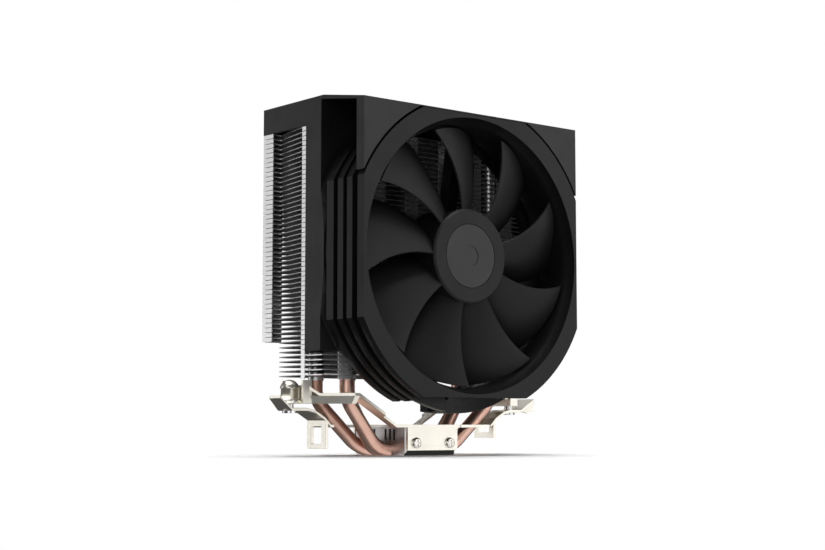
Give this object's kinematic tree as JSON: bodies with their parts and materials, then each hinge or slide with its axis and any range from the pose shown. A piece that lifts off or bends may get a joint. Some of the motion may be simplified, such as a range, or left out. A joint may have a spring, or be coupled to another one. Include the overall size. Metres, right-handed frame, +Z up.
{
  "type": "cpu tower cooler",
  "caption": "CPU tower cooler: black fan with a round duct under a black cover, aluminium fins, copper heat pipes, grooved cold plate and a nickel-plated hook clamp.",
  "frame": {"origin": "centre of the cold plate's underside, which is the contact face", "axes": "+X across the fan to the right seen from the fan side, +Y rearwards from the fan to the fins along the air flow, +Z up the tower"},
  "size_m": [0.1425, 0.0716, 0.1498],
  "materials": {
    "black_cover": "fine satin moulding",
    "black_frame": "fine satin moulding",
    "blade_plastic": "satin moulding",
    "hub_plastic": "satin, faint turned rings",
    "fin_aluminium": "bright rolled sheet",
    "base_aluminium": "machined",
    "copper": "lightly polished copper tube",
    "nickel": "satin nickel plate",
    "screw_nickel": "nickel plate",
    "polished_steel": "polished",
    "dark_steel": "black zinc",
    "ferrite": "bonded ferrite",
    "bronze": "sintered bronze",
    "electrical_steel": "stacked laminations",
    "copper_wire": "enamelled wire",
    "white_nylon": "natural nylon",
    "board_green": "solder mask",
    "chip_black": "moulded package"
  },
  "bodies": {
    "cooler": {"top_cover": "black_cover", "fan_frame": "black_frame", "fan_duct_ring": "black_frame", "fan_screws": "dark_steel", "sleeve_bearing": "bronze", "stator_core": "electrical_steel", "stator_insulators": "white_nylon", "stator_windings": "copper_wire", "fan_circuit_board": "board_green", "board_components": "chip_black", "upper_fins": "fin_aluminium", "lower_fins": "fin_aluminium", "base_block": "base_aluminium", "heat_pipe_front": "copper", "heat_pipe_middle": "copper", "heat_pipe_rear": "copper", "front_bracket": "nickel", "rear_bracket": "nickel", "bracket_screws": "screw_nickel", "right_nut_washer": "polished_steel", "left_nut_washer": "polished_steel"},
    "rotor": {"impeller": "blade_plastic", "hub_cap": "hub_plastic", "rotor_yoke": "nickel", "magnet_ring": "ferrite", "motor_shaft": "polished_steel", "shaft_clip": "white_nylon"},
    "right_hook": {"right_hook_arm": "nickel", "right_stud": "polished_steel"},
    "left_hook": {"left_hook_arm": "nickel", "left_stud": "polished_steel"},
    "right_nut": {"right_dome_nut": "nickel"},
    "left_nut": {"left_dome_nut": "nickel"}
  },
  "joints": [
    {"name": "impeller_spin", "type": "hinge", "parent": "cooler", "child": "rotor", "pos_m": [0, -0.0352, 0.0844], "axis": [0, 1, 0], "continuous": true},
    {"name": "right_nut_turn", "type": "hinge", "parent": "cooler", "child": "right_nut", "pos_m": [0.0621, 0, 0.0276], "axis": [0, 0, -1], "range_deg": [0, 600]},
    {"name": "left_nut_turn", "type": "hinge", "parent": "cooler", "child": "left_nut", "pos_m": [-0.0621, 0, 0.0276], "axis": [0, 0, -1], "range_deg": [0, 600]},
    {"name": "right_hook_lift", "type": "hinge", "parent": "cooler", "child": "right_hook", "pos_m": [0.016, 0, 0.0126], "axis": [0, -1, 0], "range_deg": [0, 1.46]},
    {"name": "left_hook_lift", "type": "hinge", "parent": "cooler", "child": "left_hook", "pos_m": [-0.016, 0, 0.0126], "axis": [0, 1, 0], "range_deg": [0, 1.46]}
  ],
  "couplings": [
    {"joint": "right_hook_lift", "follows": "right_nut_turn", "ratio": 0.0024167},
    {"joint": "left_hook_lift", "follows": "left_nut_turn", "ratio": 0.0024167}
  ]
}
